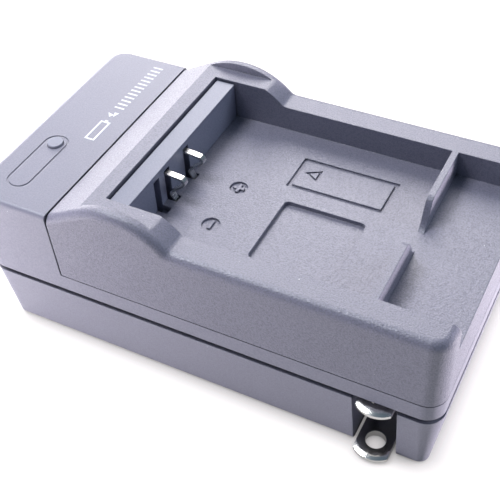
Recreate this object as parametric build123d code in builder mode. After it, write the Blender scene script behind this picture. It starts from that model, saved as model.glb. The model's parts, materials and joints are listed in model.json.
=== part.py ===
from build123d import *

import os
from math import cos, radians, sin, sqrt, tan

# Camera battery charger: two-part housing, clip-on battery plate, fold-out mains plug.
# Millimetres. +X runs from the lamp end to the plug end, +Y to the back, +Z up.
# The origin is the middle of the bottom face.

# Housing
body_length = 90.6
body_width = 50.7
corner_radius = 3.6
base_draft = 7.0
upper_draft = 0.2
base_wall = 2.4
upper_wall = 1.8
floor_thickness = 2.0
bottom_edge_bevel = 0.8

# Parting groove round the housing, closed behind by a lip on the base
base_rim = 14.6
seam_gap = 0.7
lip_thickness = 1.0
lip_height = 1.6
lip_clearance = 0.15
lip_headroom = 0.4

# Head at the lamp end
head_length = 17.0
head_top = 33.0
head_edge_radius = 1.0

# Battery plate
plate_line = 18.6
plate_joint = 0.3
joint_slant = 0.6
plate_wall = 2.2
plate_clearance = 0.2
deck_top = 25.6
bay_floor = 28.4
rim_top = 33.6
rim_edge_radius = 1.7
bridge_top = 36.6
hump_top = 38.3
hump_radius = 14.8
hump_from_left = 31.1
ramp_angle = 28.0
crease_radius = 1.6
cheek_thickness = 2.3
bay_width = 39.4
bay_from_left = 31.5
bridge_cavity_inset = 2.4
bridge_cavity_side = 3.2
bridge_thickness = 2.0

# Battery stop across the bay, open in the middle for a thumb
rib_from_right = 13.55
rib_thickness = 1.2
rib_root = 0.4
rib_gap_at_floor = 4.0
rib_gap_at_rim = 14.0

# Outlined panel and square pocket sunk into the bay floor
panel_depth = 0.4
panel_length = 19.1
panel_width = 8.7
panel_border = 0.8
panel_from_wall = 18.2
panel_y = 8.65
pocket_length = 15.7
pocket_width = 15.7
pocket_depth = 0.8
pocket_radius = 1.0
pocket_from_wall = 20.0
pocket_y = -7.35

# Contact block in the bridge and its two spring strips
block_gap = 0.5
block_end_gap = 0.3
block_thickness = 3.8
block_drop = 0.5
slot_width = 1.8
slot_roof = 1.2
slot_length = 1.9
slot_sink = 1.2
rear_contact_y = -0.2
front_contact_y = -7.0
spare_slot_y = -10.6
strip_thickness = 0.4
strip_width = 1.2
strip_reach = 5.1
strip_drop = 2.3
strip_slope = 0.8
strip_bend = 0.8
strip_tail_depth = 2.3
strip_tail_rise = 1.8
strip_knee_out = 0.4
strip_knee_rise = 1.4
strip_foot_out = 1.6
strip_foot_sink = 0.7
lead_thickness = 0.5
lead_gap = 0.3
lead_hole_margin = 0.4

# Lamp: a clear light pipe in the head
lamp_from_left = 6.9
lamp_y = -7.2
lamp_diameter = 3.0
lamp_clearance = 0.1
lamp_rise = 0.5
led_height = 1.4
led_size = 2.4
led_gap = 0.3

# Fold-out plug: blade sizes and spacing of a two-blade mains plug
blade_spacing = 12.7
blade_width = 6.35
blade_thickness = 1.4
blade_tip_sag = 1.3
blade_bevel_height = 0.4
blade_bevel_length = 1.0
blade_hole_diameter = 3.7
blade_hole_from_tip = 4.0
blade_ground_gap = 0.2
blade_tip_reach = 1.7
blade_fit = 0.03
plug_from_right = 11.1
plug_axis_y = -2.6
rotor_side_gap = 0.3
channel_width = 8.0
channel_wall = 1.4
channel_roof = 1.2
channel_gap = 0.4
pin_diameter = 3.0
pin_depth = 2.0
pin_end = 0.4
pin_clearance = 0.08
pin_fit = 0.02
clip_thickness = 0.4
clip_width = 4.0
clip_gap = 0.05
clip_foot = 3.0
clip_below_axis = 2.4

# Circuit board and what it carries
board_thickness = 1.6
board_bottom = 15.8
board_from_left = 4.0
board_width = 32.0
board_end_gap = 1.0
post_size = 3.2
post_end_gap = 4.0
post_side_gap = 4.4
seat_gap = 0.05
core_length = 18.0
core_width = 13.0
core_height = 10.4
core_leg = 2.6
core_middle_leg = 5.4
core_back = 2.0
core_from_left = 24.0
winding_build = 2.9
winding_gap = 0.15
input_cap_diameter = 9.0
input_cap_length = 14.0
input_cap_from_right = 16.0
output_cap_diameter = 6.3
output_cap_length = 11.0
output_cap_from_left = 9.0
rectifier_size = (6.4, 8.2, 2.6)
rectifier_from_right = 8.0
rectifier_y = 6.0
fuse_size = (8.4, 4.0, 5.4)
fuse_from_right = 8.0
fuse_y = -8.0
chip_size = (5.0, 4.0, 1.6)
chip_from_left = 12.0
chip_y = 5.0
chip_leg_reach = 1.0
chip_leg_size = 0.4
chip_leg_pitch = 1.27
chip_legs_per_side = 4

# Case screws, one at each end
screw_from_end = 6.0
screw_from_side = 5.9
screw_well_gap = 0.4
boss_size = 5.6
screw_diameter = 2.2
screw_hole_clearance = 0.15
screw_pilot_clearance = 0.05
screw_head_diameter = 4.2
screw_head_clearance = 0.3
screw_head_height = 1.5
screw_sink = 3.0
screw_engagement = 6.0
screw_tip_gap = 0.5
screw_slot_length = 2.6
screw_slot_width = 0.6
screw_slot_depth = 0.7
screw_head_sides = 16
screw_shank_sides = 12

# Derived places
half_length = body_length / 2
half_width = body_width / 2
upper_base = base_rim + seam_gap
head_end = -half_length + head_length
plate_left = head_end + plate_joint
plate_bottom = plate_line + plate_joint
bay_left = -half_length + bay_from_left
bay_half = bay_width / 2
hump_x = -half_length + hump_from_left
hump_z = hump_top - hump_radius
ramp_rise = tan(radians(ramp_angle))
ramp_top_x = hump_x - hump_radius * sin(radians(ramp_angle))
ramp_top_z = hump_z + hump_radius * cos(radians(ramp_angle))
ramp_foot_z = ramp_top_z - (ramp_top_x - plate_left) * ramp_rise
crease_x = hump_x + sqrt(hump_radius**2 - (rim_top - hump_z) ** 2)
rib_right = half_length - rib_from_right
window_left = bay_left - block_thickness - block_gap
block_top = bridge_top - block_drop
block_half = bay_half - block_end_gap
slot_ys = [rear_contact_y, front_contact_y, spare_slot_y]
strip_ys = {"front": front_contact_y, "rear": rear_contact_y}
tail_x = bay_left - strip_tail_depth
tail_z = bay_floor + strip_tail_rise
board_top = board_bottom + board_thickness
lamp_x = -half_length + lamp_from_left
lamp_foot = board_top + led_height + led_gap
lamp_hole_diameter = lamp_diameter + 2 * lamp_clearance
plug_x = half_length - plug_from_right
rotor_half = blade_spacing / 2 + blade_thickness / 2
rotor_length = channel_width - 2 * rotor_side_gap
plug_axis_z = rotor_half + blade_ground_gap
rotor_face_y = plug_axis_y - plug_axis_z + blade_ground_gap / 2
blade_tip_y = -half_width - blade_tip_reach
channel_half = channel_width / 2
channel_back = plug_axis_y + rotor_half + channel_gap
channel_top = plug_axis_z + rotor_half + channel_gap
well_half = channel_half + channel_wall
well_front = -half_width + base_rim * tan(radians(base_draft)) + bottom_edge_bevel
well_top = channel_top + channel_roof
clip_x = well_half + pin_end + clip_gap
board_left = -half_length + board_from_left
board_right = plug_x - clip_x - clip_thickness - board_end_gap
board_length = board_right - board_left
board_x = (board_left + board_right) / 2
screw_left = -half_length + screw_from_end
screw_right = plug_x - well_half - boss_size / 2 - screw_well_gap
screw_y = half_width - screw_from_side
screw_places = [(screw_left, -screw_y), (screw_right, screw_y)]
post_places = [
    (x, y * (board_width / 2 - post_side_gap))
    for x in (board_left + post_end_gap, board_right - post_end_gap)
    for y in (-1, 1)
]
low_corner = (Align.MIN, Align.MIN, Align.MIN)
standing = (Align.CENTER, Align.CENTER, Align.MIN)


def inner_plan(inset, mode=Mode.ADD):
    """Draw a square-cornered plan outline inside the housing's, drawn in by an inset."""
    Rectangle(body_length - 2 * inset, body_width - 2 * inset, mode=mode)


def outer_form(top):
    """Build the upper body's rounded, drafted form from the seam up to a height."""
    with BuildPart() as form:
        with BuildSketch(Plane.XY.offset(upper_base)):
            RectangleRounded(body_length, body_width, corner_radius)
        extrude(amount=top - upper_base, taper=upper_draft)
    return form.part


def inner_form(inset, top):
    """Build a square-cornered, drafted form inside the upper body, from the seam up."""
    with BuildPart() as form:
        with BuildSketch(Plane.XY.offset(upper_base)):
            inner_plan(inset)
        extrude(amount=top - upper_base, taper=upper_draft)
    return form.part


def span_box(low, high, mode=Mode.ADD):
    """Add or cut a box between two opposite corners."""
    with Locations(low):
        Box(*[b - a for a, b in zip(low, high)], align=low_corner, mode=mode)


def finish(builder, label):
    """Name a finished piece and write it to its own file."""
    builder.part.label = label
    export_step(builder.part, f"parts/{label}.step")


os.makedirs("parts", exist_ok=True)

# Base shell: tapered tray with a lip, screw bosses, board posts and the plug's channel
with BuildPart() as base_shell:
    with BuildSketch(Plane.XY.offset(base_rim)):
        RectangleRounded(body_length, body_width, corner_radius)
    extrude(amount=-base_rim, taper=base_draft)
    chamfer(base_shell.faces().sort_by(Axis.Z)[0].edges(), bottom_edge_bevel)
    with BuildSketch(Plane.XY.offset(base_rim)):
        inner_plan(base_wall)
    extrude(amount=floor_thickness - base_rim, taper=base_draft, mode=Mode.SUBTRACT)
    lip_inset = upper_wall + lip_clearance
    with BuildSketch(Plane.XY.offset(base_rim - lip_height)):
        inner_plan(lip_inset)
        inner_plan(lip_inset + lip_thickness, mode=Mode.SUBTRACT)
    extrude(amount=2 * lip_height)
    with Locations(*[(x, y, 0) for x, y in screw_places]):
        Box(boss_size, boss_size, base_rim, align=standing)
    post_height = board_bottom - seat_gap - floor_thickness / 2
    with Locations(*[(x, y, floor_thickness / 2) for x, y in post_places]):
        Box(post_size, post_size, post_height, align=standing)
    span_box(
        (plug_x - well_half, well_front, 0),
        (plug_x + well_half, channel_back + channel_wall, well_top),
    )
    span_box(
        (plug_x - channel_half, -body_width, -base_rim),
        (plug_x + channel_half, channel_back, channel_top),
        mode=Mode.SUBTRACT,
    )
    with BuildSketch(Plane.YZ.offset(plug_x)):
        with Locations((plug_axis_y, plug_axis_z)):
            Circle(pin_diameter / 2 + pin_clearance)
    extrude(amount=well_half + pin_end, both=True, mode=Mode.SUBTRACT)
    with BuildSketch(Plane.XY):
        with Locations(*screw_places):
            Circle(screw_diameter / 2 + screw_hole_clearance)
    extrude(amount=base_rim, mode=Mode.SUBTRACT)
    with BuildSketch(Plane.XY):
        with Locations(*screw_places):
            Circle(screw_head_diameter / 2 + screw_head_clearance)
    extrude(amount=screw_sink, mode=Mode.SUBTRACT)
finish(base_shell, "base_shell")

# Top shell: band above the seam, lamp head, and the deck that the battery plate clips over
with BuildPart() as top_shell:
    add(outer_form(head_top))
    fillet(top_shell.faces().sort_by(Axis.Z)[-1].edges(), head_edge_radius)
    with BuildSketch(Plane.XZ):
        with BuildLine():
            Polyline(
                (head_end, hump_top),
                (head_end, head_top),
                (head_end + joint_slant, plate_line),
                (body_length, plate_line),
                (body_length, hump_top),
                close=True,
            )
        make_face()
    extrude(amount=body_width, both=True, mode=Mode.SUBTRACT)
    deck_inset = plate_wall + plate_clearance
    add(inner_form(deck_inset, deck_top))
    add(inner_form(deck_inset + upper_wall, deck_top - upper_wall), mode=Mode.SUBTRACT)
    lip_room = base_rim + lip_height + lip_headroom
    add(inner_form(upper_wall, lip_room), mode=Mode.SUBTRACT)
    cavity_length = head_length - 2 * upper_wall
    with BuildSketch(Plane.XY.offset(upper_base)):
        with Locations((head_end - upper_wall - cavity_length / 2, 0)):
            Rectangle(cavity_length, body_width - 2 * upper_wall)
    extrude(
        amount=head_top - upper_wall - upper_base,
        taper=upper_draft,
        mode=Mode.SUBTRACT,
    )
    for x, y in screw_places:
        boss_top = (head_top if x < 0 else deck_top) - upper_wall / 2
        with Locations((x, y, base_rim + seat_gap)):
            Box(boss_size, boss_size, boss_top - base_rim - seat_gap, align=standing)
    with BuildSketch(Plane.XY.offset(base_rim)):
        with Locations(*screw_places):
            Circle(screw_diameter / 2 + screw_pilot_clearance)
    extrude(amount=screw_engagement + screw_tip_gap, mode=Mode.SUBTRACT)
    with BuildSketch(Plane.XY.offset(head_top)):
        with Locations((lamp_x, lamp_y)):
            Circle(lamp_hole_diameter / 2)
    extrude(amount=-2 * upper_wall, mode=Mode.SUBTRACT)
    with BuildSketch(Plane.XY.offset(deck_top)):
        with Locations(*[(tail_x, y) for y in strip_ys.values()]):
            Rectangle(
                lead_thickness + 2 * lead_hole_margin, strip_width + 2 * lead_hole_margin
            )
    extrude(amount=-2 * upper_wall, mode=Mode.SUBTRACT)
finish(top_shell, "top_shell")

# Battery plate: humped cheeks, level bridge, sunk bay, battery stop, hollow underside
with BuildPart() as adapter_plate:
    add(outer_form(hump_top + rim_edge_radius))
    with BuildSketch(Plane.XZ) as side_view:
        with BuildLine():
            Line((plate_left, ramp_foot_z), (ramp_top_x, ramp_top_z))
            ThreePointArc((ramp_top_x, ramp_top_z), (hump_x, hump_top), (crease_x, rim_top))
            Polyline(
                (crease_x, rim_top),
                (body_length, rim_top),
                (body_length, plate_bottom),
                (plate_left + joint_slant, plate_bottom),
                (plate_left, ramp_foot_z),
            )
        make_face()
        crease = side_view.vertices().sort_by_distance((crease_x, rim_top, 0))[0]
        fillet(crease, crease_radius)
    extrude(amount=body_width, both=True, mode=Mode.INTERSECT)
    upper_edges = adapter_plate.edges().filter_by_position(
        Axis.Z, ramp_foot_z - rim_edge_radius, hump_top
    )
    side_edges = upper_edges.filter_by(lambda edge: abs(edge.center().Y) > bay_half)
    end_edge = upper_edges.sort_by(Axis.X)[-1]
    fillet([*side_edges, end_edge], rim_edge_radius)
    cheek_half = half_width - cheek_thickness
    span_box(
        (plate_left, -cheek_half, bridge_top),
        (crease_x, cheek_half, hump_top + rim_edge_radius),
        mode=Mode.SUBTRACT,
    )
    span_box(
        (bay_left, -bay_half, bay_floor),
        (body_length, bay_half, hump_top),
        mode=Mode.SUBTRACT,
    )
    span_box(
        (window_left, -bay_half, plate_bottom),
        (bay_left, bay_half, hump_top),
        mode=Mode.SUBTRACT,
    )
    add(inner_form(plate_wall, deck_top + plate_clearance), mode=Mode.SUBTRACT)
    bridge_left = plate_left + bridge_cavity_inset
    span_box(
        (bridge_left, bridge_cavity_side - half_width, plate_bottom),
        (
            window_left - bridge_thickness,
            half_width - bridge_cavity_side,
            ramp_foot_z + bridge_cavity_inset * ramp_rise - bridge_thickness,
        ),
        mode=Mode.SUBTRACT,
    )
    for y in slot_ys:
        span_box(
            (bay_left, y - slot_width / 2, bay_floor - slot_sink),
            (bay_left + slot_length, y + slot_width / 2, bay_floor),
            mode=Mode.SUBTRACT,
        )
    with BuildSketch(Plane.YZ.offset(rib_right - rib_thickness)):
        with BuildLine():
            rib_low = rib_gap_at_floor / 2
            rib_high = rib_gap_at_rim / 2
            rib_middle = (rib_low + rib_high) / 2
            rib_end = bay_half + rib_root
            rib_base = bay_floor - rib_root
            Bezier(
                (rib_high, rim_top),
                (rib_middle, rim_top),
                (rib_middle, bay_floor),
                (rib_low, bay_floor),
            )
            Polyline(
                (rib_low, bay_floor),
                (rib_low, rib_base),
                (rib_end, rib_base),
                (rib_end, rim_top),
                (rib_high, rim_top),
            )
        make_face()
        mirror(about=Plane.YZ)
    extrude(amount=rib_thickness)
    with BuildSketch(Plane.XY.offset(bay_floor)):
        with Locations((bay_left + panel_from_wall + panel_length / 2, panel_y)):
            Rectangle(panel_length, panel_width)
            Rectangle(
                panel_length - 2 * panel_border,
                panel_width - 2 * panel_border,
                mode=Mode.SUBTRACT,
            )
    extrude(amount=-panel_depth, mode=Mode.SUBTRACT)
    with BuildSketch(Plane.XY.offset(bay_floor)):
        with Locations((bay_left + pocket_from_wall + pocket_length / 2, pocket_y)):
            RectangleRounded(pocket_length, pocket_width, pocket_radius)
    extrude(amount=-pocket_depth, mode=Mode.SUBTRACT)
finish(adapter_plate, "adapter_plate")

# Contact block: slotted right through for the strips, one slot left empty
with BuildPart() as contact_block:
    span_box(
        (bay_left - block_thickness, -block_half, deck_top + seat_gap),
        (bay_left, block_half, block_top),
    )
    for y in slot_ys:
        span_box(
            (window_left, y - slot_width / 2, deck_top),
            (bay_left, y + slot_width / 2, block_top - slot_roof),
            mode=Mode.SUBTRACT,
        )
finish(contact_block, "contact_block")

# Contact strips, bent to a nose, and the leads that rise to them from the board
for place, y in strip_ys.items():
    with BuildPart() as contact_strip:
        with BuildLine(Plane.XZ.offset(-y)):
            strip_z = bridge_top - strip_drop
            FilletPolyline(
                (tail_x, tail_z),
                (tail_x, strip_z),
                (bay_left + strip_reach - strip_thickness / 2, strip_z - strip_slope),
                (bay_left + strip_knee_out, bay_floor + strip_knee_rise),
                (bay_left + strip_foot_out, bay_floor - strip_foot_sink),
                radius=strip_bend,
            )
        with BuildSketch(Plane.XY.offset(tail_z)):
            with Locations((tail_x, y)):
                Rectangle(strip_thickness, strip_width)
        sweep()
    finish(contact_strip, f"contact_{place}")
    with BuildPart() as contact_lead:
        span_box(
            (tail_x - lead_thickness / 2, y - strip_width / 2, board_top + seat_gap),
            (tail_x + lead_thickness / 2, y + strip_width / 2, tail_z - lead_gap),
        )
    finish(contact_lead, f"contact_lead_{place}")

# Plug rotor: round behind for turning, square in front, grooved for the blades
blade_zs = {
    "upper": plug_axis_z + blade_spacing / 2,
    "lower": plug_axis_z - blade_spacing / 2,
}
blade_half = blade_thickness / 2
with BuildPart() as plug_rotor:
    with BuildSketch(Plane.YZ.offset(plug_x - rotor_length / 2)):
        with Locations((plug_axis_y, plug_axis_z)):
            Circle(rotor_half)
            Rectangle(
                plug_axis_y - rotor_face_y, 2 * rotor_half, align=(Align.MAX, Align.CENTER)
            )
    extrude(amount=rotor_length)
    for z in blade_zs.values():
        outward = rotor_half if z > plug_axis_z else -rotor_half
        inner_z = plug_axis_z + outward * (blade_spacing - blade_thickness) / (2 * rotor_half)
        groove_zs = sorted((inner_z, plug_axis_z + 2 * outward))
        span_box(
            (plug_x - blade_width / 2 - blade_fit, 2 * rotor_face_y, groove_zs[0] - blade_fit),
            (plug_x + blade_width / 2 + blade_fit, plug_axis_y, groove_zs[1] + blade_fit),
            mode=Mode.SUBTRACT,
        )
    with BuildSketch(Plane.YZ.offset(plug_x)):
        with Locations((plug_axis_y, plug_axis_z)):
            Circle(pin_diameter / 2 + pin_fit)
    extrude(amount=rotor_length / 2, both=True, mode=Mode.SUBTRACT)
    with BuildSketch(Plane.YZ.offset(plug_x)):
        with Locations((plug_axis_y, plug_axis_z)):
            Circle(pin_diameter / 2 + pin_fit)
    extrude(amount=rotor_length / 2 - pin_depth, both=True)
finish(plug_rotor, "plug_rotor")

# Plug blades: flat, pierced, with a rounded and bevelled tip
for place, z in blade_zs.items():
    with BuildPart() as plug_blade:
        with BuildSketch(Plane.XY.offset(z - blade_half)):
            with BuildLine():
                blade_left = plug_x - blade_width / 2
                blade_right = plug_x + blade_width / 2
                shoulder_y = blade_tip_y + blade_tip_sag
                blade_root = plug_axis_y - blade_fit
                ThreePointArc(
                    (blade_left, shoulder_y), (plug_x, blade_tip_y), (blade_right, shoulder_y)
                )
                Polyline(
                    (blade_right, shoulder_y),
                    (blade_right, blade_root),
                    (blade_left, blade_root),
                    (blade_left, shoulder_y),
                )
            make_face()
            with Locations((plug_x, blade_tip_y + blade_hole_from_tip)):
                Circle(blade_hole_diameter / 2, mode=Mode.SUBTRACT)
        extrude(amount=blade_thickness)
        tip_face = plug_blade.faces().sort_by(Axis.Y)[0]
        tip_edges = tip_face.edges().filter_by(GeomType.CIRCLE)
        chamfer(tip_edges, blade_bevel_height, blade_bevel_length, reference=tip_face)
    finish(plug_blade, f"plug_blade_{place}")

# Pivot pins in the rotor's two ends, and the clips that bear on them outside the well
with BuildPart() as pivot_pins:
    for side in (-1, 1):
        with BuildSketch(Plane.YZ.offset(plug_x + side * (rotor_length / 2 - pin_depth))):
            with Locations((plug_axis_y, plug_axis_z)):
                Circle(pin_diameter / 2)
        extrude(amount=side * (pin_depth + rotor_side_gap + channel_wall + pin_end))
finish(pivot_pins, "pivot_pins")

clip_foot_z = well_top + seat_gap
for place, side in {"left": -1, "right": 1}.items():
    with BuildPart() as mains_clip:
        with BuildSketch(Plane.XZ.offset(-plug_axis_y)):
            with BuildLine():
                clip_inner = plug_x + side * clip_x
                clip_outer = clip_inner + side * clip_thickness
                foot_tip = clip_inner - side * clip_foot
                clip_low = plug_axis_z - clip_below_axis
                Polyline(
                    (clip_inner, clip_low),
                    (clip_inner, clip_foot_z),
                    (foot_tip, clip_foot_z),
                    (foot_tip, clip_foot_z + clip_thickness),
                    (clip_outer, clip_foot_z + clip_thickness),
                    (clip_outer, clip_low),
                    close=True,
                )
            make_face()
        extrude(amount=clip_width / 2, both=True)
    finish(mains_clip, f"mains_clip_{place}")

# Lamp: light pipe that stands a little proud of the head, over the board's lamp
with BuildPart() as lamp_lens:
    with Locations((lamp_x, lamp_y, lamp_foot)):
        Cylinder(lamp_diameter / 2, head_top + lamp_rise - lamp_foot, align=standing)
finish(lamp_lens, "lamp_lens")

with BuildPart() as charge_led:
    with Locations((lamp_x, lamp_y, board_top + seat_gap)):
        Box(led_size, led_size, led_height - seat_gap, align=standing)
finish(charge_led, "charge_led")

# Circuit board on its posts, with the parts it carries above and below
with BuildPart() as circuit_board:
    with Locations((board_x, 0, board_bottom)):
        Box(board_length, board_width, board_thickness, align=standing)
finish(circuit_board, "circuit_board")

core_x = board_left + core_from_left
core_top = board_bottom - seat_gap
core_z = core_top - core_height / 2
window_width = (core_length - 2 * core_leg - core_middle_leg) / 2
window_height = core_height - 2 * core_back
with BuildPart() as transformer_core:
    with Locations((core_x, 0, core_z)):
        Box(core_length, core_width, core_height)
    window_shift = (core_middle_leg + window_width) / 2
    with Locations((core_x - window_shift, 0, core_z), (core_x + window_shift, 0, core_z)):
        Box(window_width, core_width, window_height, mode=Mode.SUBTRACT)
finish(transformer_core, "transformer_core")

with BuildPart() as transformer_winding:
    bore_length = core_middle_leg + 2 * winding_gap
    bore_width = core_width + 2 * winding_gap
    with Locations((core_x, 0, core_z)):
        Box(
            bore_length + 2 * winding_build,
            bore_width + 2 * winding_build,
            window_height - 2 * winding_gap,
        )
        Box(bore_length, bore_width, window_height, mode=Mode.SUBTRACT)
finish(transformer_winding, "transformer_winding")

with BuildPart() as input_capacitor:
    input_cap_radius = input_cap_diameter / 2
    input_cap_x = board_right - input_cap_from_right
    with Locations((input_cap_x, 0, core_top - input_cap_radius)):
        Cylinder(input_cap_radius, input_cap_length, rotation=(90, 0, 0))
finish(input_capacitor, "input_capacitor")

with BuildPart() as output_capacitor:
    output_cap_radius = output_cap_diameter / 2
    output_cap_x = board_left + output_cap_from_left
    with Locations((output_cap_x, 0, core_top - output_cap_radius)):
        Cylinder(output_cap_radius, output_cap_length, rotation=(90, 0, 0))
finish(output_capacitor, "output_capacitor")

with BuildPart() as rectifier:
    with Locations((board_right - rectifier_from_right, rectifier_y, board_top + seat_gap)):
        Box(*rectifier_size, align=standing)
finish(rectifier, "rectifier")

with BuildPart() as fuse:
    with Locations((board_right - fuse_from_right, fuse_y, board_top + seat_gap)):
        Box(*fuse_size, align=standing)
finish(fuse, "fuse")

with BuildPart() as control_chip:
    chip_x = board_left + chip_from_left
    with Locations((chip_x, chip_y, board_top + seat_gap)):
        Box(*chip_size, align=standing)
        with GridLocations(chip_leg_pitch, 0, chip_legs_per_side, 1):
            Box(chip_leg_size, chip_size[1] + 2 * chip_leg_reach, chip_leg_size, align=standing)
finish(control_chip, "control_chip")

# Case screws: two equal slotted screws, heads sunk in the bottom
with BuildPart() as case_screws:
    head_seat = screw_sink - seat_gap
    with BuildSketch(Plane.XY.offset(head_seat)):
        with Locations(*screw_places):
            RegularPolygon(screw_head_diameter / 2, screw_head_sides)
    extrude(amount=-screw_head_height)
    with BuildSketch(Plane.XY.offset(head_seat)):
        with Locations(*screw_places):
            RegularPolygon(screw_diameter / 2, screw_shank_sides)
    extrude(amount=base_rim + screw_engagement - head_seat)
    with BuildSketch(Plane.XY.offset(head_seat - screw_head_height)):
        with Locations(*screw_places):
            Rectangle(screw_slot_length, screw_slot_width)
            Rectangle(screw_slot_width, screw_slot_length)
    extrude(amount=screw_slot_depth, mode=Mode.SUBTRACT)
finish(case_screws, "case_screws")
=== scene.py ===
"""Studio scene of a camera battery charger with a fold-out mains plug.

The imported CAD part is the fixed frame. The add-on dresses its pieces, adds the fine
moulded and printed marks, and sets up the stage.
"""

import json
from math import radians

import bmesh
import bpy
from bpy.props import FloatProperty, FloatVectorProperty, IntProperty, PointerProperty
from bpy.types import Operator, Panel, PropertyGroup
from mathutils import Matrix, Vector

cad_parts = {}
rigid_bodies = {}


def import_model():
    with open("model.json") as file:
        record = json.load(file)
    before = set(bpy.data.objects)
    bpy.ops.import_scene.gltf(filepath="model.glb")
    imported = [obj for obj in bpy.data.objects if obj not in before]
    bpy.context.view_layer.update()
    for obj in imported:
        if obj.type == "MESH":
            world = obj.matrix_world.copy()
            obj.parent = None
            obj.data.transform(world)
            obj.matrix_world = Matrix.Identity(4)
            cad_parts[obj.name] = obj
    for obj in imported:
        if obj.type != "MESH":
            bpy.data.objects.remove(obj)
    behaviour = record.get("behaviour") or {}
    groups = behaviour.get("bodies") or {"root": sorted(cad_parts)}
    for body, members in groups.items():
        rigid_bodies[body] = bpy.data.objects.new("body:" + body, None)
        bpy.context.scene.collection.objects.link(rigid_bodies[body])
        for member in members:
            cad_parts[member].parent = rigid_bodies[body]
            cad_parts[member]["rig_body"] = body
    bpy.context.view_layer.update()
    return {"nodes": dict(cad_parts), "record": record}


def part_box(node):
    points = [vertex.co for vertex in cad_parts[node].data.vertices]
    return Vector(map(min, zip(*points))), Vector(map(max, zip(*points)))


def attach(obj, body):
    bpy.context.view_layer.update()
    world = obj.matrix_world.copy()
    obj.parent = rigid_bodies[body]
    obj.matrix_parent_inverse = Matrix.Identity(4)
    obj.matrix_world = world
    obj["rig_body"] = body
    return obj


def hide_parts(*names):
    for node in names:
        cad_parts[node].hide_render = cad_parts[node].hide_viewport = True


bl_info = {
    "name": "Camera battery charger",
    "version": (1, 0, 0),
    "blender": (4, 5, 0),
    "location": "View3D > Sidebar > Charger",
    "description": "Dresses the charger's pieces and sets up its studio stage",
    "category": "Object",
}

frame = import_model()
slots = {part["node"]: part["material_slot"] for part in frame["record"]["subparts"]}

MM = 0.001

# Meshes
SMOOTH_ANGLE = radians(32)  # edges that turn more stay sharp
FLAT_ANGLE = radians(1)  # triangles that turn less are joined
WELD = 0.001 * MM  # CAD corners this close are one
LEDGE = 2.5 * MM  # the ledges round the shells are narrower than this
LEVEL = 0.99  # least upward part of a level face's normal
ROUND_CORNERS = 48
PILL_SEGMENTS = 14
PILL_ROUNDING = 0.499  # of the width, so that the two sides don't meet
BAR_CHAMFER = 0.15  # of the bar's width
WEDGE_SHAPE = (0.55, 0.9, 1)  # the bolt's halves, from an even triangle
WEDGE_TURN = 118  # degrees
WEDGE_SPREAD = 62  # degrees to either side of that turn

# Materials
FINE = 3.0  # noise detail of the fine textures
SHELL_ROUGHNESS = 0.42
PLATE_ROUGHNESS = 0.38
BLOCK_ROUGHNESS = 0.36
BRASS_ROUGHNESS = 0.25
CONTACT_ROUGHNESS = 0.20
BLADE_ROUGHNESS = 0.12
STEEL_ROUGHNESS = 0.28
STEEL = (0.5, 0.5, 0.5)
CREVICE_SHADE_START = 0.55  # a place with less than this share open is in a joint and gets painted shade
CREVICE_SHADE_GAIN = 2.4
MOTTLE = 16 * MM
DUST = (0.86, 0.86, 0.88)
DUST_RADIUS = 0.09 * MM
DUST_CHANCE = 0.06
DUST_CHANCE_UPWARD = 0.2  # added where a face looks up
UPWARD = 0.7

# Slot, material, colour, roughness and grain of the small components
COMPONENTS = (
    ("ferrite", "ground_ferrite", (0.045, 0.045, 0.05), 0.6, 0.2 * MM),
    ("winding_tape", "wrapped_tape", (0.55, 0.38, 0.05), 0.35, 0.5 * MM),
    ("component_sleeve", "shrunk_sleeve", (0.02, 0.022, 0.03), 0.3, 0.4 * MM),
    ("component_body", "epoxy_body", (0.02, 0.02, 0.022), 0.55, 0.15 * MM),
    ("fuse_ceramic", "glazed_ceramic", (0.6, 0.56, 0.46), 0.3, 0.3 * MM),
)

# Stage
ROOM_TINT = (0.55, 0.76, 1, 1)
WHITE = (1, 1, 1, 1)
GLOW_STRENGTH = 1.65
GLOW_SHARE = 0.6  # of what the eye sees of the floor
GLOSS_SHARE = 0.3  # of that glow, in what gloss mirrors of the floor
CLIP_START = 0.01

# Name, place, width, power, tint and whether gloss mirrors it
LAMPS = (
    ("back_light", (-0.12, 0.36, 0.33), 0.32, 1.68, (1, 0.97, 0.98), True),
    ("low_light", (-0.38, 0.27, 0.09), 0.28, 1.40, (1, 0.97, 0.98), True),
    ("near_light", (-0.13, -0.10, 0.024), 0.044, 0.27, (1, 0.97, 0.97), False),
    ("top_light", (-0.15, -0.03, 0.34), 0.13, 0.95, (0.92, 0.95, 1), True),
    ("right_light", (0.28, 0.12, 0.15), 0.16, 0.40, (0.82, 0.92, 1), False),
    ("right_card", (0.14, 0.04, 0.0065), 0.013, 0.30, (1, 0.92, 0.90), False),
)


def length(name, description, millimetres):
    """Declare a length that a user may change, with its default given in millimetres."""
    return FloatProperty(
        name=name, description=description, default=millimetres * MM, unit="LENGTH", precision=5
    )


def colour(name, description, default):
    """Declare a colour that a user may change."""
    return FloatVectorProperty(
        name=name, description=description, default=default, subtype="COLOR", min=0, max=1
    )


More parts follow.
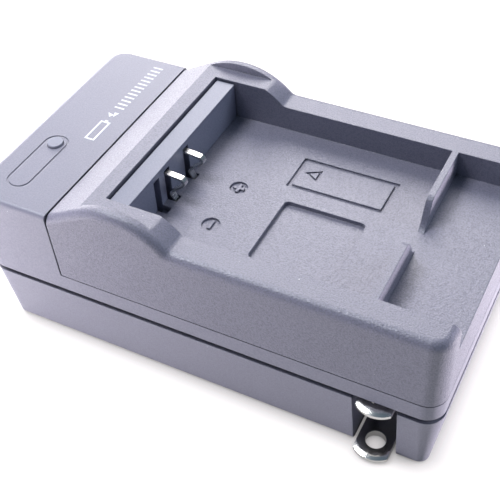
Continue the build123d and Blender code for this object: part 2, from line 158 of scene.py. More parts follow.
class ChargerFinish(PropertyGroup):
    """Colours and textures of the charger's materials."""

    housing: colour("Housing", "Slate grey of the moulded housing", (0.238, 0.231, 0.300))
    # Painted shade: the plate is the same plastic as the housing, and its grey is the housing's
    # darkened by about a seventh.
    plate: colour("Plate", "Slate grey of the battery plate", (0.205, 0.198, 0.262))
    # Painted shade: the block is the same plastic as the housing, and its grey is the housing's
    # made darker and bluer.
    block: colour("Block", "Smooth plastic of the contact block and plug", (0.190, 0.198, 0.275))
    # Painted shade: this near black darkens joints and grooves by how little of the surroundings
    # they see.
    crevice_shade: colour("Crevice", "Shade that gathers in joints and grooves", (0.004, 0.004, 0.008))
    nickel: colour("Nickel", "Plating of the contacts and blades", (0.86, 0.84, 0.80))
    brass: colour("Brass", "Rolled strip of the leads and clips", (0.62, 0.44, 0.19))
    ink: colour("Ink", "White print on the head", (0.88, 0.87, 0.90))
    lamp: colour("Lamp", "Milky plastic of the light pipe", (0.36, 0.36, 0.44))
    grain: length("Grain", "Width of one grain of the moulded texture", 0.28)
    shell_depth: length("Shell grain depth", "Depth of the texture on the shells", 0.025)
    plate_depth: length("Plate grain depth", "Depth of the coarser texture on the plate", 0.10)
    shell_grit: FloatProperty(
        name="Shell grit", description="Contrast of the texture on the shells", default=1.4
    )
    plate_grit: FloatProperty(
        name="Plate grit", description="Contrast of the texture on the plate", default=2.7
    )
    edge: length("Edge", "Radius of the softened moulded edges", 0.22)
    shell_joint: length("Shell joint", "Reach of the shade in the shells' joints", 1.8)
    plate_joint: length("Plate joint", "Reach of the shade in the plate's grooves", 0.8)
    dust: length("Dust", "Mean distance between dust specks", 2.6)
    seam: length("Seam", "Extra depth of the joint between the shells", 0.35)
    plate_seat: length("Plate seat", "Rise of the ledge that narrows the plate's joint", 0.13)
    lamp_edge: length("Lamp edge", "Radius of the light pipe's rim", 0.15)


class ChargerMarks(PropertyGroup):
    """Places and sizes of the moulded and printed marks."""

    sign_diameter: length("Sign diameter", "Round recess of a polarity sign", 3.4)
    sign_depth: length("Sign depth", "Depth of the polarity recesses", 0.4)
    sign_bar: length("Sign bar", "Width of the raised bars in a sign", 0.6)
    sign_bar_length: length("Sign bar length", "Length of the raised bars", 2.2)
    sign_from_wall: length("Sign from wall", "Distance of the signs from the contact wall", 10.5)
    plus_y: length("Plus", "Place of the plus sign across the bay", 0.2)
    minus_y: length("Minus", "Place of the minus sign across the bay", -10.6)
    arrow_from_wall: length("Arrow from wall", "Distance of the arrow from the wall", 21.4)
    arrow_y: length("Arrow", "Place of the arrow across the bay", 8.65)
    arrow_size: length("Arrow size", "Radius of the arrow's corners", 1.9)
    line: length("Line", "Width of the moulded lines", 0.4)
    line_depth: length("Line depth", "Depth of the moulded lines", 0.3)
    pill_length: length("Pill length", "Length of the outline round the lamp", 16.0)
    pill_width: length("Pill width", "Width of the outline round the lamp", 5.0)
    pill_depth: length("Pill depth", "Depth of the outline round the lamp", 0.14)
    print_from_lamp: length("Print from lamp", "Distance of the print from the lamp", 5.1)
    print_start: length("Print start", "Front end of the print", -3.5)
    print_height: length("Print height", "Height of the printed marks", 2.2)
    print_line: length("Print line", "Line width of the print", 0.4)
    print_thickness: length("Print thickness", "Thickness of the ink", 0.02)
    cell_length: length("Cell length", "Length of the printed cell", 6.4)
    bolt_length: length("Bolt length", "Length of the printed bolt", 2.0)
    gap: length("Gap", "Space between the printed marks", 1.1)
    bars: IntProperty(name="Bars", description="Number of printed bars", default=13, min=1)
    print_rise: length("Print rise", "Rise of the bars along their row", 1.4)
    bar_pitch: length("Bar pitch", "Distance between the printed bars", 1.24)


class ChargerStage(PropertyGroup):
    """Camera, floor and the room's light."""

    camera_place: FloatVectorProperty(
        name="Camera",
        description="Place of the camera",
        default=(0.06334, -0.11406, 0.14223),
        subtype="TRANSLATION",
        unit="LENGTH",
    )
    camera_turn: FloatVectorProperty(
        name="Camera turn",
        description="Direction of the camera",
        default=(radians(45.398), radians(2.737), radians(26.999)),
        subtype="EULER",
        unit="ROTATION",
    )
    lens: FloatProperty(name="Lens", description="Focal length in millimetres", default=67.85)
    floor_size: FloatProperty(
        name="Floor", description="Width of the floor", default=4.0, unit="LENGTH"
    )
    floor: colour("Floor", "Pale floor", (0.62, 0.60, 0.595))
    glow: colour("Glow", "Colour that the floor shows to the eye", (1.0, 0.96, 0.955))
    shadow_reach: length("Shadow reach", "Reach of the shade where the charger stands", 4.0)
    ambient: FloatProperty(name="Ambient", description="Strength of the room's light", default=0.19)


class Flow:
    """A value that runs through a material's nodes; arithmetic on it adds Math nodes."""

    def __init__(self, paint, socket):
        self.paint = paint
        self.socket = socket

    def math(self, operation, first, second):
        """Add a Math node on two values."""
        return self.paint.node("ShaderNodeMath", {"operation": operation}, {0: first, 1: second})

    def __add__(self, other):
        return self.math("ADD", self, other)

    def __radd__(self, other):
        return self.math("ADD", other, self)

    def __sub__(self, other):
        return self.math("SUBTRACT", self, other)

    def __rsub__(self, other):
        return self.math("SUBTRACT", other, self)

    def __mul__(self, other):
        return self.math("MULTIPLY", self, other)

    def __rmul__(self, other):
        return self.math("MULTIPLY", other, self)

    def __lt__(self, other):
        return self.math("LESS_THAN", self, other)

    def __gt__(self, other):
        return self.math("GREATER_THAN", self, other)


class Paint:
    """One material and its nodes, ending in the surface shader."""

    def __init__(self, name):
        self.material = bpy.data.materials.new(name)
        self.material.use_nodes = True
        self.tree = self.material.node_tree
        self.surface = self.tree.nodes["Principled BSDF"]

    def put(self, socket, value):
        """Link a flow to a socket, or set a plain value on it."""
        if isinstance(value, Flow):
            self.tree.links.new(value.socket, socket)
        elif socket.type == "RGBA":
            socket.default_value = (*value, 1)
        else:
            socket.default_value = value

    def node(self, kind, settings=None, inputs=None, output=0):
        """Add a node with its settings and inputs, and return one of its outputs."""
        added = self.tree.nodes.new(kind)
        for key, value in (settings or {}).items():
            setattr(added, key, value)
        for key, value in (inputs or {}).items():
            self.put(added.inputs[key], value)
        return Flow(self, added.outputs[output])

    def feed(self, inputs):
        """Set or link the surface shader's sockets."""
        for key, value in inputs.items():
            self.put(self.surface.inputs[key], value)

    def place(self):
        """Give the piece's own coordinates."""
        return self.node("ShaderNodeTexCoord", output="Object")

    def noise(self, place, size, detail=2.0):
        """Give cloudy noise from 0 to 1, with features of about a size."""
        inputs = {"Vector": place, "Scale": 1 / size, "Detail": detail}
        return self.node("ShaderNodeTexNoise", {}, inputs)

    def mix(self, factor, first, second):
        """Mix two colours."""
        inputs = {0: factor, 6: first, 7: second}
        return self.node("ShaderNodeMix", {"data_type": "RGBA"}, inputs, 2)

    def relief(self, height, depth, edge):
        """Give a normal raised by a height pattern, over softened edges."""
        inputs = {"Height": height, "Distance": depth}
        if edge:
            inputs["Normal"] = self.node("ShaderNodeBevel", {"samples": 6}, {"Radius": edge})
        return self.node("ShaderNodeBump", {}, inputs)

    def crevice_shade(self, reach):
        """Mark joints and grooves, where near surfaces hide most of the surroundings, as a mask for
        painted shade.
        """
        inputs = {"Distance": reach}
        open_share = self.node("ShaderNodeAmbientOcclusion", {"samples": 8}, inputs, "AO")
        return CREVICE_SHADE_GAIN * (CREVICE_SHADE_START - open_share)

    def upward(self, limit):
        """Mark the faces that look up."""
        normal = self.node("ShaderNodeNewGeometry", output="Normal")
        return self.node("ShaderNodeSeparateXYZ", {}, {"Vector": normal}, "Z") > limit

    def specks(self, place, spacing, radius, chance):
        """Mark scattered specks: a share of the cells of a spacing hold one each."""
        inputs = {"Vector": place, "Scale": 1 / spacing}
        cells = self.node("ShaderNodeTexVoronoi", {}, inputs, "Distance")
        tint = self.node("ShaderNodeTexVoronoi", {}, inputs, "Color")
        draw = self.node("ShaderNodeSeparateColor", {}, {"Color": tint}, "Red")
        return (cells < radius / spacing) * (draw < chance)


def shade(tone, factor):
    """Lighten or darken a colour by a factor."""
    return tuple(min(1.0, channel * factor) for channel in tone)


def moulded_plastic(name, tone, finish, roughness, depth, joint, contrast):
    """Matte moulded plastic: stippled texture, mottling, softened edges, dust and painted shade in
    its joints.
    """
    paint = Paint(name)
    place = paint.place()
    grain = paint.noise(place, finish.grain, FINE)
    grit = 0.5 + contrast * (grain - 0.5)
    mottle = paint.noise(place, MOTTLE)
    tint = paint.mix(grit, shade(tone, 1.18), shade(tone, 0.78))
    tint = paint.mix(0.14 * mottle, tint, shade(tone, 0.5))
    chance = DUST_CHANCE + DUST_CHANCE_UPWARD * paint.upward(UPWARD)
    dust = paint.specks(place, finish.dust, DUST_RADIUS, chance)
    tint = paint.mix(0.6 * dust, tint, DUST)
    paint.feed(
        {
            # Painted shade: ambient occlusion darkens joints and grooves towards the crevice
            # colour.
            "Base Color": paint.mix(paint.crevice_shade(joint), tint, finish.crevice_shade),
            "Roughness": roughness + 0.2 * (grit - 0.5),
            "Normal": paint.relief(grain, depth, finish.edge),
            "Specular IOR Level": 1.0,
        }
    )
    return paint.material


def plated_metal(name, tone, roughness):
    """Bright plated sheet metal with rolling streaks and faint clouding."""
    paint = Paint(name)
    place = paint.place()
    stretched = paint.node("ShaderNodeMapping", {}, {"Vector": place, "Scale": (1.0, 0.06, 1.0)})
    streak = paint.noise(stretched, 0.12 * MM, FINE)
    cloud = paint.noise(place, 1.4 * MM)
    paint.feed(
        {
            "Base Color": paint.mix(cloud, shade(tone, 0.93), tone),
            "Metallic": 1.0,
            "Roughness": roughness + 0.10 * streak + 0.06 * cloud,
            "Normal": paint.relief(streak, 0.002 * MM, 0.12 * MM),
        }
    )
    return paint.material


def ink_print(name, tone):
    """White pad print, thin enough for the texture to show through in places."""
    paint = Paint(name)
    place = paint.place()
    cover = paint.noise(place, 0.25 * MM, FINE)
    paint.feed(
        {
            "Base Color": paint.mix(cover, shade(tone, 0.86), tone),
            "Roughness": 0.45 + 0.2 * cover,
            "Normal": paint.relief(cover, 0.006 * MM, 0),
        }
    )
    return paint.material


def milky_lens(name, tone):
    """Milky light pipe with a cloudy core."""
    paint = Paint(name)
    cloud = paint.noise(paint.place(), 0.9 * MM)
    paint.feed(
        {
            "Base Color": paint.mix(cloud, shade(tone, 0.9), shade(tone, 1.1)),
            "Roughness": 0.4 + 0.1 * cloud,
            "Transmission Weight": 0.15,
        }
    )
    return paint.material


def board_lacquer(name):
    """Green lacquered laminate with its woven glass just showing."""
    paint = Paint(name)
    place = paint.place()
    weave = paint.node(
        "ShaderNodeTexChecker", {}, {"Vector": place, "Scale": 1 / (0.5 * MM)}, "Fac"
    )
    cloud = paint.noise(place, 4 * MM)
    tint = paint.mix(cloud, (0.015, 0.13, 0.05), (0.02, 0.17, 0.07))
    paint.feed(
        {
            "Base Color": paint.mix(0.15 * weave, tint, (0.05, 0.24, 0.1)),
            "Roughness": 0.3 + 0.08 * cloud,
            "Normal": paint.relief(weave, 0.01 * MM, 0),
        }
    )
    return paint.material


def plain_body(name, tone, roughness, grain):
    """Small component's body: one colour with a little grain and clouding."""
    paint = Paint(name)
    place = paint.place()
    speckle = paint.noise(place, grain, FINE)
    cloud = paint.noise(place, 12 * grain)
    tint = paint.mix(cloud, shade(tone, 0.9), shade(tone, 1.1))
    paint.feed(
        {
            "Base Color": paint.mix(0.2 * speckle, tint, shade(tone, 0.7)),
            "Roughness": roughness + 0.15 * (speckle - 0.5),
            "Normal": paint.relief(speckle, 0.06 * grain, 0.1 * MM),
        }
    )
    return paint.material


def clear_choice():
    """Leave edit mode and deselect everything."""
    if bpy.context.mode != "OBJECT":
        bpy.ops.object.mode_set(mode="OBJECT")
    bpy.ops.object.select_all(action="DESELECT")


def choose(*objects):
    """Select these objects alone, the first one active."""
    clear_choice()
    for one in objects:
        one.select_set(True)
    bpy.context.view_layer.objects.active = objects[0]


def edit(piece, mode):
    """Enter edit mode on one piece with nothing selected."""
    choose(piece)
    bpy.ops.object.mode_set(mode="EDIT")
    bpy.ops.mesh.select_mode(type=mode)
    bpy.ops.mesh.select_all(action="DESELECT")
    return bmesh.from_edit_mesh(piece.data)


def pick(piece, elements, test):
    """Select the edges or faces of the edited mesh that pass a test."""
    for element in elements:
        element.select_set(test(element))
    bmesh.update_edit_mesh(piece.data)


def settle(piece):
    """Leave edit mode and move the piece's place into its mesh."""
    choose(piece)
    bpy.ops.object.transform_apply(location=True, rotation=True, scale=True)
    return piece


def apply_modifier(piece, kind, settings):
    """Add a modifier with its settings and apply it."""
    choose(piece)
    bpy.ops.object.modifier_add(type=kind)
    modifier = piece.modifiers[-1]
    for key, value in settings.items():
        setattr(modifier, key, value)
    bpy.ops.object.modifier_apply(modifier=modifier.name)


def cut(piece, tool):
    """Cut a tool's shape out of a piece and remove the tool."""
    apply_modifier(
        piece, "BOOLEAN", {"operation": "DIFFERENCE", "solver": "EXACT", "object": tool}
    )
    choose(tool)
    bpy.ops.object.delete()


def smooth(piece):
    """Shade round faces smooth, and keep flat faces flat beside them."""
    choose(piece)
    bpy.ops.object.shade_smooth_by_angle(angle=SMOOTH_ANGLE)
    apply_modifier(piece, "WEIGHTED_NORMAL", {"weight": 100, "keep_sharp": True})


def welded_copy(node):
    """Copy a CAD node into a piece of its own, with its loose triangles joined."""
    source = frame["nodes"][node]
    piece = bpy.data.objects.new(f"{node}_dressed", source.data.copy())
    bpy.context.scene.collection.objects.link(piece)
    choose(piece)
    bpy.ops.mesh.customdata_custom_splitnormals_clear()
    edit(piece, "FACE")
    bpy.ops.mesh.select_all(action="SELECT")
    bpy.ops.mesh.remove_doubles(threshold=WELD)
    bpy.ops.mesh.tris_convert_to_quads(face_threshold=FLAT_ANGLE, shape_threshold=radians(180))
    clear_choice()
    return piece


def hand_over(piece, node, material):
    """Let a finished piece stand for its CAD node, in its finish and on its body."""
    piece.data.materials.clear()
    piece.data.materials.append(material)
    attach(piece, frame["nodes"][node]["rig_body"])
    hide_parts(node)


def dress_nodes(slot, material):
    """Give the CAD nodes of one slot their material."""
    for node, name in slots.items():
        if name == slot:
            frame["nodes"][node].data.materials.clear()
            frame["nodes"][node].data.materials.append(material)


def middle(node):
    """Give the middle of a CAD node's box."""
    low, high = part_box(node)
    return (low + high) / 2


def surface_height(node, x, y):
    """Give the height of a CAD node's upper surface at a place."""
    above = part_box(node)[1].z + MM
    hit, point, *_ = frame["nodes"][node].ray_cast(Vector((x, y, above)), Vector((0, 0, -1)))
    if not hit:
        raise RuntimeError(f"nothing of {node} lies at {x:.4f}, {y:.4f}")
    return point.z


def bar_block(x, y, z, size_x, size_y, height):
    """Add a bar standing on a level, with its upper edges taken off."""
    clear_choice()
    bpy.ops.mesh.primitive_cube_add(
        size=1, location=(x, y, z + height / 2), scale=(size_x, size_y, height)
    )
    bar = settle(bpy.context.active_object)
    mesh = edit(bar, "EDGE")
    top = z + 0.9 * height
    pick(bar, mesh.edges, lambda edge: all(vert.co.z > top for vert in edge.verts))
    chamfer = BAR_CHAMFER * min(size_x, size_y)
    bpy.ops.mesh.bevel(offset=chamfer, segments=1, affect="EDGES")
    clear_choice()
    return bar


def disc_tool(x, y, z, radius, depth, corners):
    """Add a disc-shaped tool that reaches down from a surface by a depth."""
    clear_choice()
    bpy.ops.mesh.primitive_cylinder_add(
        vertices=corners, radius=radius, depth=2 * depth, location=(x, y, z)
    )
    return settle(bpy.context.active_object)


def pill_tool(x, y, z, width, span, depth):
    """Add a pill-shaped tool, long across the charger."""
    clear_choice()
    bpy.ops.mesh.primitive_cube_add(size=1, location=(x, y, z), scale=(width, span, 2 * depth))
    tool = settle(bpy.context.active_object)
    mesh = edit(tool, "EDGE")
    pick(tool, mesh.edges, lambda edge: abs(edge.verts[0].co.z - edge.verts[1].co.z) > depth)
    bpy.ops.mesh.bevel(offset=PILL_ROUNDING * width, segments=PILL_SEGMENTS, affect="EDGES")
    clear_choice()
    return tool


def shift_ledge(piece, level, rise):
    """Raise or sink the ledge round a shell that lies just under a level."""
    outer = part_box("base_shell")[1]

    def on_ledge(face):
        outside = all(
            abs(vert.co.x) > outer.x - LEDGE or abs(vert.co.y) > outer.y - LEDGE
            for vert in face.verts
        )
        below = level - MM < face.calc_center_median().z < level
        return outside and below and face.normal.z > LEVEL

    mesh = edit(piece, "FACE")
    pick(piece, mesh.faces, on_ledge)
    bpy.ops.transform.translate(value=(0, 0, rise))
    clear_choice()


class CHARGER_OT_housing(Operator):
    """Dress the base shell and deepen the joint above it"""

    bl_idname = "charger.housing"
    bl_label = "Housing"

    def execute(self, context):
        finish = context.scene.charger_finish
        material = moulded_plastic(
            "shell_moulding",
            finish.housing,
            finish,
            SHELL_ROUGHNESS,
            finish.shell_depth,
            finish.shell_joint,
            finish.shell_grit,
        )
        dress_nodes("housing_plastic", material)
        base = welded_copy("base_shell")
        shift_ledge(base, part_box("top_shell")[0].z, -finish.seam)
        smooth(base)
        hand_over(base, "base_shell", material)
        return {"FINISHED"}


class CHARGER_OT_head(Operator):
    """Dress the top shell, narrow the plate's joint and cut the outline round the lamp"""

    bl_idname = "charger.head"
    bl_label = "Head"

    def execute(self, context):
        marks = context.scene.charger_marks
        finish = context.scene.charger_finish
        lamp = middle("lamp_lens")
        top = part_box("top_shell")[1].z
        y = lamp.y + marks.pill_width / 2 - marks.pill_length / 2
        outline = pill_tool(lamp.x, y, top, marks.pill_width, marks.pill_length, marks.pill_depth)
        inside = pill_tool(
            lamp.x,
            y,
            top,
            marks.pill_width - 2 * marks.line,
            marks.pill_length - 2 * marks.line,
            2 * marks.pill_depth,
        )
        cut(outline, inside)
        head = welded_copy("top_shell")
        shift_ledge(head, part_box("adapter_plate")[0].z, finish.plate_seat)
        cut(head, outline)
        smooth(head)
        hand_over(head, "top_shell", bpy.data.materials["shell_moulding"])
        return {"FINISHED"}


class CHARGER_OT_plate(Operator):
    """Dress the battery plate and cut the polarity signs and the arrow into its bay"""

    bl_idname = "charger.plate"
    bl_label = "Battery plate"

    def execute(self, context):
        marks = context.scene.charger_marks
        finish = context.scene.charger_finish
        # The plate's grey is the housing's grey darkened, a painted shade.
        material = moulded_plastic(
            "plate_moulding",
            finish.plate,
            finish,
            PLATE_ROUGHNESS,
            finish.plate_depth,
            finish.plate_joint,
            finish.plate_grit,
        )
        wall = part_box("contact_block")[1].x
        x = wall + marks.sign_from_wall
        radius = marks.sign_diameter / 2
        floor = surface_height("adapter_plate", x, marks.plus_y)
        plate = welded_copy("adapter_plate")
        for y, crossed in ((marks.plus_y, True), (marks.minus_y, False)):
            recess = disc_tool(x, y, floor, radius, marks.sign_depth, ROUND_CORNERS)
            low = floor - 2 * marks.sign_depth
            height = 4 * marks.sign_depth
            cut(recess, bar_block(x, y, low, marks.sign_bar, marks.sign_bar_length, height))
            if crossed:
                cut(recess, bar_block(x, y, low, marks.sign_bar_length, marks.sign_bar, height))
            cut(plate, recess)
        arrow_x = wall + marks.arrow_from_wall
        arrow = disc_tool(arrow_x, marks.arrow_y, floor, marks.arrow_size, marks.line_depth, 3)
        inside = disc_tool(
            arrow_x,
            marks.arrow_y,
            floor,
            marks.arrow_size - 2 * marks.line,
            2 * marks.line_depth,
            3,
        )
        cut(arrow, inside)
        choose(arrow)
        bpy.ops.object.origin_set(type="ORIGIN_GEOMETRY", center="BOUNDS")
        arrow.rotation_euler.z = radians(90)
        cut(plate, settle(arrow))
        smooth(plate)
        hand_over(plate, "adapter_plate", material)
        return {"FINISHED"}


class CHARGER_OT_contacts(Operator):
    """Dress the contact block, the contact strips and their leads"""

    bl_idname = "charger.contacts"
    bl_label = "Contacts"

    def execute(self, context):
        finish = context.scene.charger_finish
        # The block's grey is the housing's grey made darker and bluer, a painted shade.
        block = moulded_plastic(
            "block_moulding",
            finish.block,
            finish,
            BLOCK_ROUGHNESS,
            finish.shell_depth,
            finish.plate_joint,
            finish.shell_grit,
        )
        dress_nodes("block_plastic", block)
        nickel = plated_metal("contact_nickel", finish.nickel, CONTACT_ROUGHNESS)
        brass = plated_metal("rolled_brass", finish.brass, BRASS_ROUGHNESS)
        dress_nodes("brass_strip", brass)
        for node in ("contact_front", "contact_rear"):
            strip = welded_copy(node)
            smooth(strip)
            hand_over(strip, node, nickel)
        dress_nodes("contact_metal", nickel)
        return {"FINISHED"}


class CHARGER_OT_plug(Operator):
    """Dress the plug's blades"""

    bl_idname = "charger.plug"
    bl_label = "Plug"

    def execute(self, context):
        finish = context.scene.charger_finish
        nickel = plated_metal("blade_nickel", finish.nickel, BLADE_ROUGHNESS)
        dress_nodes("blade_metal", nickel)
        for node in ("plug_blade_upper", "plug_blade_lower"):
            blade = welded_copy(node)
            smooth(blade)
            hand_over(blade, node, nickel)
        return {"FINISHED"}


class CHARGER_OT_lamp(Operator):
    """Model the light pipe with its rounded rim"""

    bl_idname = "charger.lamp"
    bl_label = "Lamp"

    def execute(self, context):
        finish = context.scene.charger_finish
        material = milky_lens("milky_lens", finish.lamp)
        dress_nodes("lamp_plastic", material)
        low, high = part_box("lamp_lens")
        clear_choice()
        bpy.ops.mesh.primitive_cylinder_add(
            vertices=ROUND_CORNERS,
            radius=(high.x - low.x) / 2,
            depth=high.z - low.z,
            location=(low + high) / 2,
        )
        lens = settle(bpy.context.active_object)
        lens.name = "lamp_lens_dressed"
        mesh = edit(lens, "EDGE")
        rim = high.z - finish.lamp_edge / 2
        pick(lens, mesh.edges, lambda edge: all(vert.co.z > rim for vert in edge.verts))
        bpy.ops.mesh.bevel(offset=finish.lamp_edge, segments=3, affect="EDGES")
        smooth(lens)
        hand_over(lens, "lamp_lens", material)
        return {"FINISHED"}


class CHARGER_OT_electronics(Operator):
    """Dress the circuit board, what it carries and the case screws"""

    bl_idname = "charger.electronics"
    bl_label = "Electronics"

    def execute(self, context):
        dress_nodes("board_laminate", board_lacquer("board_lacquer"))
        for slot, name, tone, roughness, grain in COMPONENTS:
            dress_nodes(slot, plain_body(name, tone, roughness, grain))
        dress_nodes("screw_steel", plated_metal("plated_steel", STEEL, STEEL_ROUGHNESS))
        return {"FINISHED"}


class CHARGER_OT_print(Operator):
    """Model the white print on the head: a cell, a bolt and a row of bars"""

    bl_idname = "charger.print"
    bl_label = "Print"

    def execute(self, context):
        marks = context.scene.charger_marks
        lamp = middle("lamp_lens")
        x = lamp.x + marks.print_from_lamp
        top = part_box("top_shell")[1].z
        start = marks.print_start
        cell = self.cell(x, start, top, marks)
        start += marks.cell_length + marks.gap
        bolt = self.bolt(x, start, top, marks)
        start += marks.bolt_length + marks.gap
        scale = self.scale(x, start, top, marks)
        choose(cell, bolt, scale)
        bpy.ops.object.join()
        apply_modifier(cell, "SOLIDIFY", {"thickness": marks.print_thickness, "offset": 1.0})
        cell.name = "head_print"
        cell.data.materials.append(ink_print("white_ink", context.scene.charger_finish.ink))
        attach(cell, "housing")
        return {"FINISHED"}

    def cell(self, x, start, z, marks):
        """Draw the outline of a battery cell with its terminal."""
        clear_choice()
        body = marks.cell_length - marks.print_line
        bpy.ops.mesh.primitive_plane_add(size=1, location=(x, start + body / 2, z))
        cell = bpy.context.active_object
        cell.scale = (marks.print_height, body, 1)
        settle(cell)
        mesh = edit(cell, "EDGE")
        pick(cell, mesh.edges, lambda edge: all(v.co.y > start + body / 2 for v in edge.verts))
        bpy.ops.mesh.subdivide(number_cuts=2)
        mesh = bmesh.from_edit_mesh(cell.data)
        near = marks.print_height / 4
        far = start + 0.99 * body
        pick(
            cell,
            mesh.edges,
            lambda edge: all(v.co.y > far and abs(v.co.x - x) < near for v in edge.verts),
        )
        bpy.ops.mesh.extrude_edges_move(
            TRANSFORM_OT_translate={"value": (0, marks.print_line, 0)}
        )
        mesh = edit(cell, "FACE")
        pick(cell, mesh.faces, lambda face: face.calc_center_median().y < start + 0.9 * body)
        bpy.ops.mesh.inset(thickness=marks.print_line, depth=0)
        bpy.ops.mesh.delete(type="FACE")
        clear_choice()
        return cell

    def bolt(self, x, start, z, marks):
        """Draw a bolt from two slim triangles, point to point."""
        wedges = []
        for side in (-1, 1):
            clear_choice()
            bpy.ops.mesh.primitive_circle_add(
                vertices=3, radius=marks.print_height / 2, fill_type="NGON"
            )
            wedge = bpy.context.active_object
            wedge.scale = WEDGE_SHAPE
            wedge.rotation_euler.z = radians(WEDGE_TURN + WEDGE_SPREAD * side)
            wedge.location = (
                x + side * marks.print_height / 5,
                start + marks.bolt_length / 2 + side * marks.bolt_length / 8,
                z,
            )
            wedges.append(settle(wedge))
        choose(*wedges)
        bpy.ops.object.join()
        return wedges[0]

    def scale(self, x, start, z, marks):
        """Draw a rising row of bars from a strip with two of every three fields removed."""
        clear_choice()
        fields = 3 * marks.bars - 2
        field = marks.bar_pitch / 3
        span = fields * field
        bpy.ops.mesh.primitive_grid_add(
            x_subdivisions=1, y_subdivisions=fields, size=1, location=(x, start + span / 2, z)
        )
        row = bpy.context.active_object
        row.scale = (marks.print_height, span, 1)
        settle(row)
        mesh = edit(row, "FACE")
        pick(
            row,
            mesh.faces,
            lambda face: int((face.calc_center_median().y - start) / field) % 3 > 0,
        )
        bpy.ops.mesh.delete(type="FACE")
        bpy.ops.mesh.select_all(action="SELECT")
        bpy.ops.mesh.bisect(
            plane_co=(x - marks.print_height / 2, start + span, z),
            plane_no=(-span, -marks.print_rise, 0),
            clear_outer=True,
        )
        clear_choice()
        return row


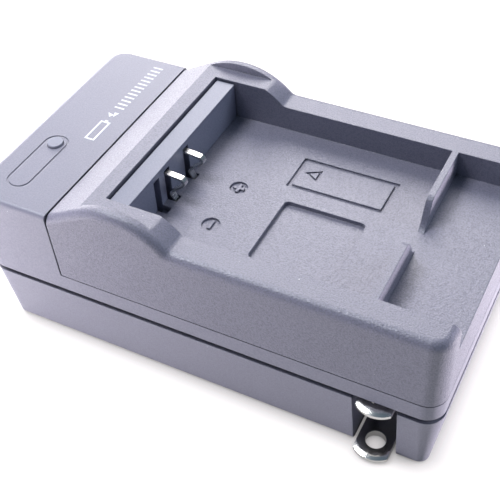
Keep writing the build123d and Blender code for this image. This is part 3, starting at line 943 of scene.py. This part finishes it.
class CHARGER_OT_stage(Operator):
    """Set up the floor, the lights and the camera"""

    bl_idname = "charger.stage"
    bl_label = "Stage"

    def execute(self, context):
        stage = context.scene.charger_stage
        self.floor(stage)
        self.world(context.scene, stage)
        for lamp in LAMPS:
            self.area(*lamp)
        self.camera(context.scene, stage)
        context.scene.view_settings.view_transform = "Standard"
        return {"FINISHED"}

    def floor(self, stage):
        """Lay a pale floor that shows white to the eye and keeps the shadow; its glow fades near
        the charger, a painted shade round its foot.
        """
        clear_choice()
        bpy.ops.mesh.primitive_plane_add(size=stage.floor_size)
        floor = bpy.context.active_object
        floor.name = "floor"
        paint = Paint("floor")
        cloud = paint.noise(paint.place(), 60 * MM)
        paint.feed(
            {
                "Base Color": paint.mix(cloud, shade(stage.floor, 0.99), stage.floor),
                "Roughness": 0.7,
                "Specular IOR Level": 0.1,
            }
        )
        eye = paint.node("ShaderNodeLightPath", output="Is Camera Ray")
        gloss = paint.node("ShaderNodeLightPath", output="Is Glossy Ray")
        # Partly painted shade: ambient occlusion fades the glow near the charger, so the floor's
        # real shadow shows there and the floor darkens round its foot.
        near = paint.node(
            "ShaderNodeAmbientOcclusion", {"samples": 8}, {"Distance": stage.shadow_reach}, "AO"
        )
        glow = paint.node(
            "ShaderNodeEmission", {}, {"Color": stage.glow, "Strength": GLOW_STRENGTH}
        )
        surface = Flow(paint, paint.surface.outputs[0])
        share = GLOW_SHARE * (eye + GLOSS_SHARE * gloss) * near
        seen = paint.node("ShaderNodeMixShader", {}, {0: share, 1: surface, 2: glow})
        paint.tree.links.new(seen.socket, paint.tree.nodes["Material Output"].inputs["Surface"])
        floor.data.materials.append(paint.material)

    def world(self, scene, stage):
        """Fill the room with an even light, seen as white."""
        world = bpy.data.worlds.new("studio")
        world.use_nodes = True
        scene.world = world
        tree = world.node_tree
        room = tree.nodes["Background"]
        room.inputs["Color"].default_value = ROOM_TINT
        room.inputs["Strength"].default_value = stage.ambient
        white = tree.nodes.new("ShaderNodeBackground")
        white.inputs["Color"].default_value = WHITE
        white.inputs["Strength"].default_value = 1
        path = tree.nodes.new("ShaderNodeLightPath")
        mix = tree.nodes.new("ShaderNodeMixShader")
        tree.links.new(path.outputs["Is Camera Ray"], mix.inputs[0])
        tree.links.new(room.outputs[0], mix.inputs[1])
        tree.links.new(white.outputs[0], mix.inputs[2])
        tree.links.new(mix.outputs[0], tree.nodes["World Output"].inputs["Surface"])

    def area(self, name, place, size, power, tint, mirrored):
        """Hang a soft square lamp that looks at the charger, seen in its gloss or not."""
        clear_choice()
        turn = (middle("base_shell") - Vector(place)).to_track_quat("-Z", "Y").to_euler()
        bpy.ops.object.light_add(type="AREA", location=place, rotation=turn)
        lamp = bpy.context.active_object
        lamp.name = name
        lamp.data.size = size
        lamp.data.energy = power
        lamp.data.color = tint
        lamp.visible_glossy = mirrored

    def camera(self, scene, stage):
        """Set up the camera."""
        clear_choice()
        bpy.ops.object.camera_add(location=stage.camera_place, rotation=stage.camera_turn)
        camera = bpy.context.active_object
        camera.data.lens = stage.lens
        camera.data.clip_start = CLIP_START
        scene.camera = camera


class CHARGER_PT_panel(Panel):
    """Lists the charger's operators and settings in the sidebar"""

    bl_label = "Camera battery charger"
    bl_idname = "CHARGER_PT_panel"
    bl_space_type = "VIEW_3D"
    bl_region_type = "UI"
    bl_category = "Charger"

    def draw(self, context):
        for operator in operators:
            self.layout.operator(operator.bl_idname)
        for group in settings:
            box = self.layout.box()
            values = getattr(context.scene, group)
            for name in values.__annotations__:
                box.prop(values, name)


settings = {
    "charger_finish": ChargerFinish,
    "charger_marks": ChargerMarks,
    "charger_stage": ChargerStage,
}
operators = (
    CHARGER_OT_housing,
    CHARGER_OT_head,
    CHARGER_OT_plate,
    CHARGER_OT_contacts,
    CHARGER_OT_plug,
    CHARGER_OT_lamp,
    CHARGER_OT_electronics,
    CHARGER_OT_print,
    CHARGER_OT_stage,
)


def register():
    """Add the settings, operators and panel."""
    for name, group in settings.items():
        bpy.utils.register_class(group)
        setattr(bpy.types.Scene, name, PointerProperty(type=group))
    for cls in (*operators, CHARGER_PT_panel):
        bpy.utils.register_class(cls)


def unregister():
    """Remove the panel, operators and settings."""
    for cls in (CHARGER_PT_panel, *reversed(operators)):
        bpy.utils.unregister_class(cls)
    for name, group in settings.items():
        delattr(bpy.types.Scene, name)
        bpy.utils.unregister_class(group)


def main():
    """Dress the charger piece by piece."""
    register()
    bpy.ops.charger.housing()
    bpy.ops.charger.head()
    bpy.ops.charger.plate()
    bpy.ops.charger.contacts()
    bpy.ops.charger.plug()
    bpy.ops.charger.lamp()
    bpy.ops.charger.electronics()
    bpy.ops.charger.print()
    bpy.ops.charger.stage()


if __name__ == "__main__":
    main()
